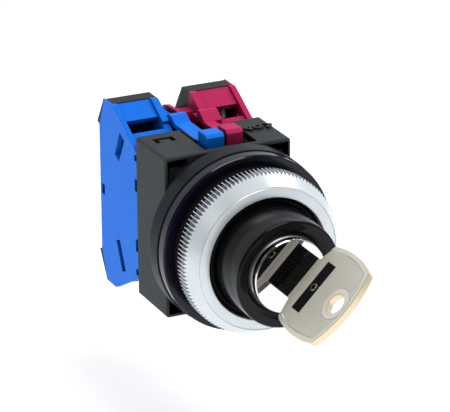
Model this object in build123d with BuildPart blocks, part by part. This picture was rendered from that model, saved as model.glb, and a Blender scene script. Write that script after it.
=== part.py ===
from build123d import *
import os
from math import atan2, cos, pi, radians, sin, sqrt

# Key-operated selector switch for a 30.5 mm panel hole, with one normally open
# and one normally closed contact block clipped to its back.
#
# Frame: the barrel's axis is Y. The front, with the key, faces -Y, and +Z is up.
# The origin is on the barrel's axis, in the plane that the panel's back rests on.

os.makedirs("parts", exist_ok=True)

# ---- Driving dimensions, millimetres --------------------------------------------------

BARREL_R = 14.97  # M30 thread over its crests
THREAD_PITCH = 1.5
THREAD_DEPTH = 0.65
BARREL_BORE_R = 13.6
BARREL_FRONT = -9.6

COLLAR_R = 22.25
COLLAR_HOLE_R = 15.1
GASKET_R = 22.0
GASKET_T = 2.8
COLLAR_DISC = (3.2, 8.1)  # the rear disc's front and back
COLLAR_NECK_R = 19.6
SEAT_BEAD_R = (20.4, 21.7)  # raised ring that the panel's back rests on
SEAT_RELIEF = 0.15

WASHER_R = 19.5
RING_BACK = -3.25
RING_R = 20.08
RING_CONE_Y = -6.7
RING_FACE_Y = -10.7
RING_FACE_R = 17.63
RING_HOLE_R = 15.05
RING_TEETH = 120
RING_TOOTH_DEPTH = 0.5

SLEEVE_R = 13.5
SLEEVE_FRONT_R = 13.15
SLEEVE_FACE_Y = -21.35
SLEEVE_LIP_R = 10.9  # where the face turns into the inner cone
SLEEVE_BORE_R = 9.3
SLEEVE_STEP_Y = 6.1

HEAD_R = 9.1  # polished head of the lock plug
HEAD_FACE_Y = -22.35
HEAD_BACK_Y = -20.6
PLUG_R = 6.58
LOCK_HOUSING_R = 9.25
LOCK_HOUSING_BORE_R = 6.65
LOCK_HOUSING_BACK = 4.0

BOX_HALF_W = 16.5
BOX_HALF_H = 20.35
BOX_FRONT = 10.9
BOX_BACK = 27.45
BOX_WALL = 2.0
CAVITY_HALF_W = 14.6
CAVITY_HALF_H = 16.9
PLATE_FRONT = 25.2
PLATE_HALF_W = 15.2
PLATE_HALF_H = 17.4

KEY_ANGLE = 45.0  # the key's blade from the +X axis, at rest
KEY_CENTRE = 1.25  # the bow's middle, off the barrel's axis along the blade's width
BOW_T = 1.8
BOW_ROOT_Y = -27.4
BOW_END_Y = -48.65
SHANK_T = 1.6
BLADE_T = 1.5
BLADE = (-2.3, 5.3)  # the blade's two edges, across its width
BLADE_TIP_Y = 0.5
KEYWAY_GAP = 0.1

WAFER_FIRST_Y = -17.0
WAFER_STEP = 3.5
WAFER_COUNT = 5
WAFER_T = 1.0

ROTOR_R = 11.4
ROTOR_FRONT = 17.3
ROTOR_DISC_T = 3.4
RAMP_MID_Y = 22.9
PUSHER_X = 8.5
PUSHER_R = 1.8
TRAVEL = 2.0  # of each pusher, over the key's quarter turn
CAM_GAP = 0.1

BLOCK_LEFT = {"left": -16.5, "right": 4.35}  # each contact block's tower, its -X side
TOWER_W = 12.15
BLOCK_INNER_X = 0.3  # half the slit between the two blocks
BLOCK_WALL = 1.3
OUTER_PLATE_T = 1.4  # a tower's two side plates
INNER_PLATE_T = 1.8
CAP_COVERED = 0.55  # what is left of the outer plate beside the black cap
BLOCK_FRONT = 27.5
BLOCK_BACK = 50.0
BLOCK_HALF_H = 23.85
RIB_RECESS = 0.8

# ---- Planes and small builders --------------------------------------------------------

WIDTH_DIR = (cos(radians(KEY_ANGLE)), 0, sin(radians(KEY_ANGLE)))
FACE_DIR = (-sin(radians(KEY_ANGLE)), 0, cos(radians(KEY_ANGLE)))
# Sketch coordinates on KEY_PLANE are (across the blade's width, along Y).
KEY_PLANE = Plane(origin=(0, 0, 0), x_dir=WIDTH_DIR, z_dir=FACE_DIR)


def front_plane(y):
    """Plane across the barrel's axis at y: sketch x is +X, sketch y is +Z."""
    return Plane(origin=(0, y, 0), x_dir=(1, 0, 0), z_dir=(0, -1, 0))


def key_section(y):
    """Plane across the key at y: sketch x is across the blade's width, y its thickness."""
    return Plane(origin=(0, y, 0), x_dir=WIDTH_DIR, z_dir=(0, -1, 0))


def turn(*corners, mode=Mode.ADD):
    """Revolve an outline of (radius, y) corners about the barrel's axis."""
    with BuildSketch(Plane.XY) as outline:
        with BuildLine():
            Polyline(*corners, close=True)
        make_face()
    revolve(outline.sketch, axis=Axis.Y, mode=mode)


def slab(x, y, z, mode=Mode.ADD):
    """Box from pairs of limits along X, Y and Z."""
    middle = tuple((low + high) / 2 for low, high in (x, y, z))
    with Locations(middle):
        Box(abs(x[1] - x[0]), abs(y[1] - y[0]), abs(z[1] - z[0]), mode=mode)


def rod(x, z, y, radius, mode=Mode.ADD):
    """Cylinder parallel to the barrel's axis, between the two limits in y."""
    with Locations(Location((x, (y[0] + y[1]) / 2, z), (90, 0, 0))):
        Cylinder(radius, abs(y[1] - y[0]), mode=mode)


def side_prism(x, corners, mode=Mode.ADD):
    """Outline of (y, z) corners, extruded between the two limits in x."""
    with BuildSketch(Plane.YZ.offset(min(x))) as outline:
        with BuildLine():
            Polyline(*corners, close=True)
        make_face()
    extrude(outline.sketch, amount=abs(x[1] - x[0]), mode=mode)


def key_slab(width, y, thickness, mode=Mode.ADD):
    """Box in the key's frame: limits across its width, along Y, and a full thickness."""
    with BuildSketch(KEY_PLANE) as outline:
        with Locations(((width[0] + width[1]) / 2, (y[0] + y[1]) / 2)):
            Rectangle(width[1] - width[0], abs(y[1] - y[0]))
    extrude(outline.sketch, amount=thickness / 2, both=True, mode=mode)


def save(builder, name):
    builder.part.label = name
    export_step(builder.part, f"parts/{name}.step")


# ---- Front: collar, gasket, barrel, washer and locking ring ---------------------------

with BuildPart() as panel_gasket:
    turn(
        (COLLAR_HOLE_R, GASKET_T),
        (COLLAR_HOLE_R, SEAT_RELIEF),
        (SEAT_BEAD_R[0], SEAT_RELIEF),
        (SEAT_BEAD_R[0], 0),
        (SEAT_BEAD_R[1], 0),
        (GASKET_R, 0.3),
        (GASKET_R, GASKET_T),
    )
save(panel_gasket, "panel_gasket")

with BuildPart() as front_collar:
    turn(
        (COLLAR_HOLE_R, GASKET_T),
        (COLLAR_R - 0.6, GASKET_T),
        (COLLAR_R - 0.6, COLLAR_DISC[0]),
        (COLLAR_R, COLLAR_DISC[0] + 0.2),
        (COLLAR_R, COLLAR_DISC[1] - 0.4),
        (COLLAR_R - 0.4, COLLAR_DISC[1]),
        (COLLAR_NECK_R, COLLAR_DISC[1]),
        (COLLAR_NECK_R, BOX_FRONT),
        (COLLAR_HOLE_R, BOX_FRONT),
    )
save(front_collar, "front_collar")

BARREL_FLANGE = (BOX_FRONT + BOX_WALL, BOX_FRONT + 2 * BOX_WALL)
BARREL_FLANGE_HALF_W = CAVITY_HALF_W - 0.2
BARREL_FLANGE_HALF_H = CAVITY_HALF_H - 0.2
BARREL_THREADS = 15
SCREW_POSTS = ((-12.2, -14.2), (-12.2, 14.2), (12.2, -14.2), (12.2, 14.2))
BARREL_SCREW_R = 1.2


def thread_outline():
    """Outer corners of the threaded stretch, drawn as rings one pitch apart."""
    corners = []
    for index in range(BARREL_THREADS):
        start = BARREL_FRONT + 0.3 + index * THREAD_PITCH
        corners.append((BARREL_R - THREAD_DEPTH, start))
        corners.append((BARREL_R, start + 0.5 * THREAD_PITCH - 0.15))
        corners.append((BARREL_R, start + 0.5 * THREAD_PITCH + 0.15))
    return corners


with BuildPart() as threaded_barrel:
    turn(
        (BARREL_BORE_R, BARREL_FRONT),
        (BARREL_R - THREAD_DEPTH, BARREL_FRONT),
        *thread_outline(),
        (BARREL_R - THREAD_DEPTH, BARREL_FLANGE[0]),
        (BARREL_BORE_R, BARREL_FLANGE[0]),
    )
    with BuildSketch(front_plane(BARREL_FLANGE[0])) as flange:
        RectangleRounded(2 * BARREL_FLANGE_HALF_W, 2 * BARREL_FLANGE_HALF_H, 2)
        Circle(BARREL_BORE_R, mode=Mode.SUBTRACT)
        with Locations(*SCREW_POSTS):
            Circle(BARREL_SCREW_R + 0.1, mode=Mode.SUBTRACT)
    extrude(flange.sketch, amount=-(BARREL_FLANGE[1] - BARREL_FLANGE[0]))
save(threaded_barrel, "threaded_barrel")

with BuildPart() as slip_washer:
    turn(
        (COLLAR_HOLE_R, -0.05),
        (COLLAR_HOLE_R, RING_BACK + 0.05),
        (WASHER_R - 0.3, RING_BACK + 0.05),
        (WASHER_R, RING_BACK + 0.35),
        (WASHER_R, -0.35),
        (WASHER_R - 0.3, -0.05),
    )
save(slip_washer, "slip_washer")


def toothed_outline():
    """Corners of the knurl: one tip and one root for each tooth."""
    corners = []
    for index in range(2 * RING_TEETH):
        radius = RING_R - RING_TOOTH_DEPTH * (index % 2)
        angle = index * pi / RING_TEETH
        corners.append((radius * cos(angle), radius * sin(angle)))
    return corners


with BuildPart() as locking_ring:
    with BuildSketch(front_plane(RING_BACK)) as knurl:
        with BuildLine():
            Polyline(*toothed_outline(), close=True)
        make_face()
    extrude(knurl.sketch, amount=RING_BACK - RING_CONE_Y)
    turn(
        (0, RING_CONE_Y + 0.4),
        (RING_R - 0.25, RING_CONE_Y + 0.4),
        (RING_R - 0.05, RING_CONE_Y),
        (RING_FACE_R, RING_FACE_Y),
        (0, RING_FACE_Y),
    )
    turn(
        (0, RING_BACK),
        (RING_HOLE_R, RING_BACK),
        (RING_HOLE_R, RING_FACE_Y + 0.3),
        (RING_HOLE_R + 0.3, RING_FACE_Y),
        (0, RING_FACE_Y),
        mode=Mode.SUBTRACT,
    )
save(locking_ring, "locking_ring")

# ---- Lock: sleeve, housing, plug, wafers and key --------------------------------------

SLEEVE_FLANGE = (BARREL_FLANGE[1], BARREL_FLANGE[1] + 2)
SLEEVE_FLANGE_R = 14.2
TANG_BORE_R = 7.5

with BuildPart() as lock_sleeve:
    turn(
        (SLEEVE_LIP_R, SLEEVE_FACE_Y),
        (SLEEVE_FRONT_R - 0.9, SLEEVE_FACE_Y),
        (SLEEVE_FRONT_R - 0.25, SLEEVE_FACE_Y + 0.25),
        (SLEEVE_FRONT_R, SLEEVE_FACE_Y + 0.9),
        (SLEEVE_R, RING_FACE_Y),
        (SLEEVE_R, SLEEVE_FLANGE[0]),
        (SLEEVE_FLANGE_R, SLEEVE_FLANGE[0]),
        (SLEEVE_FLANGE_R, SLEEVE_FLANGE[1]),
        (TANG_BORE_R, SLEEVE_FLANGE[1]),
        (TANG_BORE_R, SLEEVE_STEP_Y),
        (SLEEVE_BORE_R, SLEEVE_STEP_Y),
        (SLEEVE_BORE_R, SLEEVE_FACE_Y + 1.2),
    )
save(lock_sleeve, "lock_sleeve")

SEAL_R = 7.9
SEAL_WIRE_R = 0.55
SEAL_Y = HEAD_BACK_Y + 0.1 + SEAL_WIRE_R
DRIVER_SLOT_W = 5.4  # the wafers' clearance grooves along the lock housing

with BuildPart() as lock_housing:
    turn(
        (LOCK_HOUSING_BORE_R, HEAD_BACK_Y + 0.1),
        (LOCK_HOUSING_R, HEAD_BACK_Y + 0.1),
        (LOCK_HOUSING_R, LOCK_HOUSING_BACK),
        (LOCK_HOUSING_BORE_R, LOCK_HOUSING_BACK),
    )
    turn(
        (SEAL_R - 0.6, HEAD_BACK_Y),
        (SEAL_R + 0.6, HEAD_BACK_Y),
        (SEAL_R + 0.6, SEAL_Y + SEAL_WIRE_R),
        (SEAL_R - 0.6, SEAL_Y + SEAL_WIRE_R),
        mode=Mode.SUBTRACT,
    )
    wafer_stretch = (WAFER_FIRST_Y - 1.5, WAFER_FIRST_Y + WAFER_STEP * WAFER_COUNT)
    key_slab((-8.0, 8.0), wafer_stretch, DRIVER_SLOT_W, mode=Mode.SUBTRACT)
save(lock_housing, "lock_housing")

with BuildPart() as weather_seal:
    with BuildSketch(Plane.XY) as seal_section:
        with Locations((SEAL_R, SEAL_Y)):
            Circle(SEAL_WIRE_R)
    revolve(seal_section.sketch, axis=Axis.Y)
save(weather_seal, "weather_seal")

CLIP_GROOVE_R = 5.6
CLIP_GROOVE = (4.35, 5.15)
PLUG_BACK = 6.0
TANG_HALF = 3.5
TANG_BACK = 20.0
WAFER_HALF_T = 2.4
WAFER_EDGES = (-3.4, 6.0)
SPRING_EDGES = (-6.1, -3.5)
SPRING_R = 0.85
CAM_SCREW_R = 1.2
WAFER_PLACES = [WAFER_FIRST_Y + WAFER_STEP * index for index in range(WAFER_COUNT)]

with BuildPart() as lock_plug:
    turn(
        (0, HEAD_FACE_Y),
        (HEAD_R - 0.25, HEAD_FACE_Y),
        (HEAD_R, HEAD_FACE_Y + 0.25),
        (HEAD_R, HEAD_BACK_Y),
        (PLUG_R, HEAD_BACK_Y),
        (PLUG_R, CLIP_GROOVE[0]),
        (CLIP_GROOVE_R, CLIP_GROOVE[0]),
        (CLIP_GROOVE_R, CLIP_GROOVE[1]),
        (PLUG_R, CLIP_GROOVE[1]),
        (PLUG_R, PLUG_BACK),
        (0, PLUG_BACK),
    )
    with BuildSketch(key_section(PLUG_BACK)) as tang:
        Rectangle(2 * TANG_HALF, 2 * TANG_HALF)
    extrude(tang.sketch, amount=-(TANG_BACK - PLUG_BACK))
    keyway = (BLADE[0] - KEYWAY_GAP, BLADE[1] + KEYWAY_GAP)
    key_slab(keyway, (HEAD_FACE_Y, BLADE_TIP_Y + 1), BLADE_T + 2 * KEYWAY_GAP, mode=Mode.SUBTRACT)
    for place in WAFER_PLACES:
        slot = (place - WAFER_T / 2 - 0.05, place + WAFER_T / 2 + 0.05)
        key_slab((SPRING_EDGES[0], PLUG_R), slot, 2 * WAFER_HALF_T + 0.1, mode=Mode.SUBTRACT)
    for place in WAFER_PLACES:
        with BuildSketch(Plane(origin=(0, 0, 0), x_dir=(0, 1, 0), z_dir=WIDTH_DIR)) as pocket:
            with Locations((place, 0)):
                Circle(SPRING_R + 0.1)
        extrude(pocket.sketch, amount=SPRING_EDGES[0], mode=Mode.SUBTRACT)
    rod(0, 0, (TANG_BACK - 8, TANG_BACK), CAM_SCREW_R, mode=Mode.SUBTRACT)
save(lock_plug, "lock_plug")

with BuildPart() as wafers:
    for place in WAFER_PLACES:
        with BuildSketch(key_section(place - WAFER_T / 2)) as plate:
            with Locations(((WAFER_EDGES[0] + WAFER_EDGES[1]) / 2, 0)):
                RectangleRounded(WAFER_EDGES[1] - WAFER_EDGES[0], 2 * WAFER_HALF_T, 0.4)
            with Locations(((BLADE[0] + BLADE[1]) / 2, 0)):
                Rectangle(BLADE[1] - BLADE[0] + 0.4, BLADE_T + 0.5, mode=Mode.SUBTRACT)
        extrude(plate.sketch, amount=-WAFER_T)
save(wafers, "wafers")


def coil_outline(radius, start, length, turns):
    """Half-section of a close coil: a zigzag outer edge with one tip for each turn."""
    step = length / turns
    corners = [(0, start)]
    for index in range(turns):
        corners.append((radius * 0.8, start + index * step))
        corners.append((radius, start + (index + 0.5) * step))
    corners.append((radius * 0.8, start + length))
    corners.append((0, start + length))
    return corners


with BuildPart() as wafer_springs:
    for place in WAFER_PLACES:
        spring_plane = Plane(origin=(0, place, 0), x_dir=(0, 1, 0), z_dir=FACE_DIR)
        with BuildSketch(spring_plane) as half_coil:
            with BuildLine():
                Polyline(*coil_outline(SPRING_R, 3.5, 2.4, 5), close=True)
            make_face()
        revolve(half_coil.sketch, axis=Axis((0, place, 0), WIDTH_DIR))
save(wafer_springs, "wafer_springs")

with BuildPart() as retaining_clip:
    with BuildSketch(front_plane(CLIP_GROOVE[0] + 0.05)) as clip:
        Circle(7.2)
        Circle(CLIP_GROOVE_R + 0.05, mode=Mode.SUBTRACT)
        with Locations((0, -6)):
            Rectangle(5, 6, mode=Mode.SUBTRACT)
    extrude(clip.sketch, amount=-(CLIP_GROOVE[1] - CLIP_GROOVE[0] - 0.1))
save(retaining_clip, "retaining_clip")

# The bow is a rounded square with four bulging sides.
BOW_HALF_ROOT = 10.3
BOW_HALF_WAIST = 11.45
BOW_HALF_END = 9.9
BOW_ROOT_CORNER_Y = BOW_ROOT_Y - 2.3
BOW_WAIST_Y = -38.0
BOW_END_CORNER_Y = BOW_END_Y + 2.4
BOW_CORNER_R = 0.8
BOW_RIM = 1.1
BOW_FIELD_DEPTH = 0.15
RING_HOLE_CENTRE = (KEY_CENTRE, -43.9)
KEY_HOLE_R = 2.5
KEY_BOSS_R = 4.1
INLAY_HALF_W = 6.65
INLAY_Y = (-34.8, -31.1)
INLAY_T = 1.1
EYELET_Y = -33.1
EYELET_R = 0.95
SHANK_HALF_W = 5.7
SHANK_CENTRE = 1.5
BLADE_CUTS = (0.9, 1.5, 0.6, 1.2, 1.6)


def bow_outline():
    """The bow's four arcs, drawn on the key's plane."""
    left_root = (KEY_CENTRE - BOW_HALF_ROOT, BOW_ROOT_CORNER_Y)
    right_root = (KEY_CENTRE + BOW_HALF_ROOT, BOW_ROOT_CORNER_Y)
    left_end = (KEY_CENTRE - BOW_HALF_END, BOW_END_CORNER_Y)
    right_end = (KEY_CENTRE + BOW_HALF_END, BOW_END_CORNER_Y)
    ThreePointArc(left_root, (KEY_CENTRE, BOW_ROOT_Y), right_root)
    ThreePointArc(right_root, (KEY_CENTRE + BOW_HALF_WAIST, BOW_WAIST_Y), right_end)
    ThreePointArc(right_end, (KEY_CENTRE, BOW_END_Y), left_end)
    ThreePointArc(left_end, (KEY_CENTRE - BOW_HALF_WAIST, BOW_WAIST_Y), left_root)


with BuildPart() as key:
    with BuildSketch(KEY_PLANE) as bow:
        with BuildLine():
            bow_outline()
        make_face()
        fillet(bow.vertices(), BOW_CORNER_R)
    extrude(bow.sketch, amount=BOW_T / 2, both=True)
    for face_side in (-1, 1):
        with BuildSketch(KEY_PLANE.offset(face_side * BOW_T / 2)) as field:
            with BuildLine():
                bow_outline()
            make_face()
            offset(amount=-BOW_RIM, mode=Mode.REPLACE)
            with Locations((KEY_CENTRE, (BOW_ROOT_Y + BOW_ROOT_CORNER_Y) / 2)):
                Rectangle(2 * (BOW_HALF_ROOT - BOW_RIM), 2 * BOW_RIM + 1.2)
        extrude(field.sketch, amount=-face_side * BOW_FIELD_DEPTH, mode=Mode.SUBTRACT)
    with BuildSketch(KEY_PLANE) as boss:
        with Locations(RING_HOLE_CENTRE):
            Circle(KEY_BOSS_R)
    extrude(boss.sketch, amount=BOW_T / 2 - 0.03, both=True)
    shank = (SHANK_CENTRE - SHANK_HALF_W, SHANK_CENTRE + SHANK_HALF_W)
    key_slab(shank, (HEAD_FACE_Y - 0.05, BOW_ROOT_Y - 2.0), SHANK_T)
    key_slab(BLADE, (HEAD_FACE_Y - 0.05, BLADE_TIP_Y - 1.2), BLADE_T)
    with BuildSketch(KEY_PLANE) as tip:
        with BuildLine():
            Polyline(
                (BLADE[0], BLADE_TIP_Y - 1.2),
                (BLADE[1], BLADE_TIP_Y - 1.2),
                (BLADE[1] - 1.6, BLADE_TIP_Y),
                (BLADE[0] + 1.6, BLADE_TIP_Y),
                close=True,
            )
        make_face()
    extrude(tip.sketch, amount=BLADE_T / 2, both=True)
    for place, depth in zip(WAFER_PLACES, BLADE_CUTS):
        with BuildSketch(KEY_PLANE) as notch:
            with BuildLine():
                Polyline(
                    (BLADE[1] - depth, place - 0.6),
                    (BLADE[1] - depth, place + 0.6),
                    (BLADE[1] + 0.2, place + 0.8 + depth * 0.6),
                    (BLADE[1] + 0.2, place - 0.8 - depth * 0.6),
                    close=True,
                )
            make_face()
        extrude(notch.sketch, amount=BLADE_T, both=True, mode=Mode.SUBTRACT)
    with BuildSketch(KEY_PLANE) as openings:
        with Locations(RING_HOLE_CENTRE):
            Circle(KEY_HOLE_R)
        with Locations((KEY_CENTRE, (INLAY_Y[0] + INLAY_Y[1]) / 2)):
            Rectangle(2 * INLAY_HALF_W, INLAY_Y[1] - INLAY_Y[0])
    extrude(openings.sketch, amount=BOW_T, both=True, mode=Mode.SUBTRACT)
save(key, "key")

with BuildPart() as key_inlay:
    with BuildSketch(KEY_PLANE) as insert:
        with Locations((KEY_CENTRE, (INLAY_Y[0] + INLAY_Y[1]) / 2)):
            Rectangle(2 * INLAY_HALF_W, INLAY_Y[1] - INLAY_Y[0])
        with Locations((KEY_CENTRE, EYELET_Y)):
            Circle(EYELET_R, mode=Mode.SUBTRACT)
    extrude(insert.sketch, amount=INLAY_T / 2, both=True)
save(key_inlay, "key_inlay")

with BuildPart() as key_eyelet:
    with BuildSketch(KEY_PLANE) as eyelet:
        with Locations((KEY_CENTRE, EYELET_Y)):
            Circle(EYELET_R)
            Circle(EYELET_R - 0.45, mode=Mode.SUBTRACT)
    extrude(eyelet.sketch, amount=BOW_T / 2, both=True)
save(key_eyelet, "key_eyelet")

# ---- Operator body: box, cam rotor, index ring, rear plate ----------------------------

CHANNEL = (-5.4, 8.4)  # trough in the top for the two latch arms
CHANNEL_FLOOR = 18.6
CHANNEL_FRONT = 12.5
CATCH_POCKET = (13.6, 21.7)
GUIDE_RIB = (-4.8, -4.35)  # thin rib beside the left latch's arm
POCKET_CLEAR_R = 20.6  # the front face stays whole inside this radius, under the collar
# Each corner pocket of the front face: (x, z) corners of its rectangles, and its depth.
CORNER_POCKETS = (
    ((((10.4, 15.7), (15.8, 19.5)), ((13.8, 12.5), (15.8, 15.7))), 1.4),
    ((((10.4, 17.2), (15.8, 19.5)), ((14.9, 12.5), (15.8, 17.2))), 5.0),
)
PAD_SLOT_DEPTH = 2.4
MARK = (12.3, 20.4)  # the middle of the raised mark on the right pad: < o >
MARK_HEIGHT = 0.6
MARK_STROKE = 0.75

with BuildPart() as operator_body:
    slab((-BOX_HALF_W, BOX_HALF_W), (BOX_FRONT, BOX_BACK), (-BOX_HALF_H, BOX_HALF_H))
    fillet(operator_body.edges().filter_by(Axis.Y), 0.8)
    fillet(operator_body.faces().sort_by(Axis.Y)[0].edges(), 0.5)
    slab(
        (-CAVITY_HALF_W, CAVITY_HALF_W),
        (BARREL_FLANGE[0], BOX_BACK),
        (-CAVITY_HALF_H, CAVITY_HALF_H),
        mode=Mode.SUBTRACT,
    )
    slab(
        (-PLATE_HALF_W - 0.1, PLATE_HALF_W + 0.1),
        (PLATE_FRONT, BOX_BACK),
        (-PLATE_HALF_H - 0.1, PLATE_HALF_H + 0.1),
        mode=Mode.SUBTRACT,
    )
    rod(0, 0, (BOX_FRONT, BARREL_FLANGE[0]), BARREL_R + 0.05, mode=Mode.SUBTRACT)
    slab(CHANNEL, (CHANNEL_FRONT, BOX_BACK), (CHANNEL_FLOOR, BOX_HALF_H), mode=Mode.SUBTRACT)
    slab(
        (CHANNEL[0] + 0.8, CHANNEL[1] - 0.8),
        CATCH_POCKET,
        (CHANNEL_FLOOR - 0.7, CHANNEL_FLOOR),
        mode=Mode.SUBTRACT,
    )
    slot_floor = BOX_HALF_H - PAD_SLOT_DEPTH
    slab((-13.8, -8.6), (21.4, 24.4), (slot_floor, BOX_HALF_H), mode=Mode.SUBTRACT)
    slab((-12.6, -9.8), (21.4, 23.2), (slot_floor, BOX_HALF_H - 0.05))
    with BuildSketch(Plane.XY.offset(BOX_HALF_H - 0.1)) as mark:
        with Locations(MARK):
            Circle(1.35)
            Circle(1.35 - MARK_STROKE, mode=Mode.SUBTRACT)
        for way in (1, -1):
            for tilt in (1, -1):
                with Locations((MARK[0] + way * 2.75, MARK[1] + tilt * 0.65)):
                    Rectangle(2.2, MARK_STROKE, rotation=-45 * way * tilt)
    extrude(mark.sketch, amount=0.1 + MARK_HEIGHT)
    for x, z in SCREW_POSTS:
        rod(x, z, (BOX_FRONT + 0.8, BARREL_FLANGE[0]), BARREL_SCREW_R, mode=Mode.SUBTRACT)
    slab(GUIDE_RIB, (CATCH_POCKET[1] - 2.0, BOX_BACK), (CHANNEL_FLOOR - 0.7, BOX_HALF_H))
    for spans, depth in CORNER_POCKETS:
        with BuildSketch(Plane.XZ.offset(-BOX_FRONT)) as pocket:
            for low, high in spans:
                for way in (1, -1):
                    for rise in (1, -1):
                        centre = (way * (low[0] + high[0]) / 2, rise * (low[1] + high[1]) / 2)
                        with Locations(centre):
                            Rectangle(high[0] - low[0], high[1] - low[1])
            Circle(POCKET_CLEAR_R, mode=Mode.SUBTRACT)
        extrude(pocket.sketch, amount=-depth, mode=Mode.SUBTRACT)
save(operator_body, "operator_body")

with BuildPart() as barrel_screws:
    for x, z in SCREW_POSTS:
        rod(x, z, (BOX_FRONT + 1.0, BARREL_FLANGE[1]), BARREL_SCREW_R)
        rod(x, z, (BARREL_FLANGE[1], BARREL_FLANGE[1] + 1.3), 2.0)
        slab(
            (x - 1.6, x + 1.6),
            (BARREL_FLANGE[1] + 0.8, BARREL_FLANGE[1] + 1.4),
            (z - 0.3, z + 0.3),
            mode=Mode.SUBTRACT,
        )
save(barrel_screws, "barrel_screws")

DETENT_R = 1.0
DETENT_TIP = 12.2
DETENT_Y = ROTOR_FRONT + ROTOR_DISC_T / 2
INDEX_RING_BORE = DETENT_TIP + 0.05
INDEX_RING_R = 14.3
DETENT_SPRING = (6.2, 10.0)

with BuildPart() as index_ring:
    turn(
        (INDEX_RING_BORE, SLEEVE_FLANGE[1]),
        (INDEX_RING_R, SLEEVE_FLANGE[1]),
        (INDEX_RING_R, ROTOR_FRONT + ROTOR_DISC_T),
        (INDEX_RING_BORE, ROTOR_FRONT + ROTOR_DISC_T),
    )
    for x, z in ((0, -DETENT_TIP), (DETENT_TIP, 0)):
        with Locations((x, DETENT_Y, z)):
            Sphere(DETENT_R + 0.3, mode=Mode.SUBTRACT)
save(index_ring, "index_ring")

ramp_slope = TRAVEL / (2 * PUSHER_X * sin(radians(KEY_ANGLE)))
ramp_rise = ramp_slope * ROTOR_R

with BuildPart() as cam_rotor:
    for half in (1, -1):
        with BuildSketch(KEY_PLANE) as ramp:
            with BuildLine():
                Polyline(
                    (-ROTOR_R, ROTOR_FRONT),
                    (ROTOR_R, ROTOR_FRONT),
                    (ROTOR_R, RAMP_MID_Y + half * ramp_rise),
                    (-ROTOR_R, RAMP_MID_Y - half * ramp_rise),
                    close=True,
                )
            make_face()
        extrude(ramp.sketch, amount=half * ROTOR_R)
    rod(0, 0, (ROTOR_FRONT, RAMP_MID_Y + ramp_rise), ROTOR_R, mode=Mode.INTERSECT)
    rod(0, 0, (RAMP_MID_Y - 1.7, RAMP_MID_Y + ramp_rise), 5.2, mode=Mode.SUBTRACT)
    with BuildSketch(key_section(ROTOR_FRONT)) as socket:
        Rectangle(2 * TANG_HALF + 0.1, 2 * TANG_HALF + 0.1)
    extrude(socket.sketch, amount=-(TANG_BACK - ROTOR_FRONT), mode=Mode.SUBTRACT)
    rod(0, 0, (TANG_BACK, RAMP_MID_Y), CAM_SCREW_R + 0.1, mode=Mode.SUBTRACT)
    with BuildSketch(Plane.XY.offset(-DETENT_SPRING[0])) as detent_bore:
        with Locations((0, DETENT_Y)):
            Circle(DETENT_R + 0.05)
    extrude(detent_bore.sketch, amount=-ROTOR_R, mode=Mode.SUBTRACT)
save(cam_rotor, "cam_rotor")

with BuildPart() as detent_ball:
    with Locations((0, DETENT_Y, DETENT_R - DETENT_TIP)):
        Sphere(DETENT_R)
save(detent_ball, "detent_ball")

detent_length = DETENT_SPRING[1] - DETENT_SPRING[0]
detent_coil = coil_outline(DETENT_R * 0.9, DETENT_SPRING[0], detent_length, 6)

with BuildPart() as detent_spring:
    with BuildSketch(Plane.YZ) as half_spring:
        with BuildLine():
            Polyline(*[(DETENT_Y + radius, -place) for radius, place in detent_coil], close=True)
        make_face()
    revolve(half_spring.sketch, axis=Axis((0, DETENT_Y, 0), (0, 0, 1)))
save(detent_spring, "detent_spring")

with BuildPart() as cam_screw:
    rod(0, 0, (TANG_BACK - 7.5, RAMP_MID_Y - 1.7), CAM_SCREW_R)
    rod(0, 0, (RAMP_MID_Y - 1.7, RAMP_MID_Y - 0.2), 2.4)
    slab((-0.35, 0.35), (RAMP_MID_Y - 0.8, RAMP_MID_Y), (-2, 2), mode=Mode.SUBTRACT)
    slab((-2, 2), (RAMP_MID_Y - 0.8, RAMP_MID_Y), (-0.35, 0.35), mode=Mode.SUBTRACT)
save(cam_screw, "cam_screw")

PLATE_SCREWS = ((-12.4, -14.8), (-12.4, 14.8), (12.4, -14.8), (12.4, 14.8))
PLATE_SCREW_R = 1.1

with BuildPart() as rear_plate:
    slab(
        (-PLATE_HALF_W, PLATE_HALF_W),
        (PLATE_FRONT, BOX_BACK),
        (-PLATE_HALF_H, PLATE_HALF_H),
    )
    for x in (-PUSHER_X, PUSHER_X):
        rod(x, 0, (PLATE_FRONT, BOX_BACK), PUSHER_R + 0.1, mode=Mode.SUBTRACT)
    for x, z in PLATE_SCREWS:
        rod(x, z, (PLATE_FRONT, BOX_BACK), PLATE_SCREW_R, mode=Mode.SUBTRACT)
        rod(x, z, (BOX_BACK - 1.2, BOX_BACK), 2.2, mode=Mode.SUBTRACT)
save(rear_plate, "rear_plate")

with BuildPart() as plate_screws:
    for x, z in PLATE_SCREWS:
        rod(x, z, (PLATE_FRONT - 3, BOX_BACK - 1.2), PLATE_SCREW_R)
        rod(x, z, (BOX_BACK - 1.2, BOX_BACK - 0.1), 2.1)
        slab((x - 1.6, x + 1.6), (BOX_BACK - 0.6, BOX_BACK), (z - 0.3, z + 0.3), mode=Mode.SUBTRACT)
save(plate_screws, "plate_screws")

# ---- Contact blocks -------------------------------------------------------------------

PUSHER_END_Y = 28.3
ramp_angle = atan2(ramp_slope, 1)
# The pusher's round tip stands CAM_GAP clear of the sloping ramp under it.
TIP_CENTRE_Y = RAMP_MID_Y - TRAVEL / 2 + (PUSHER_R + CAM_GAP) / cos(ramp_angle)

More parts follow.
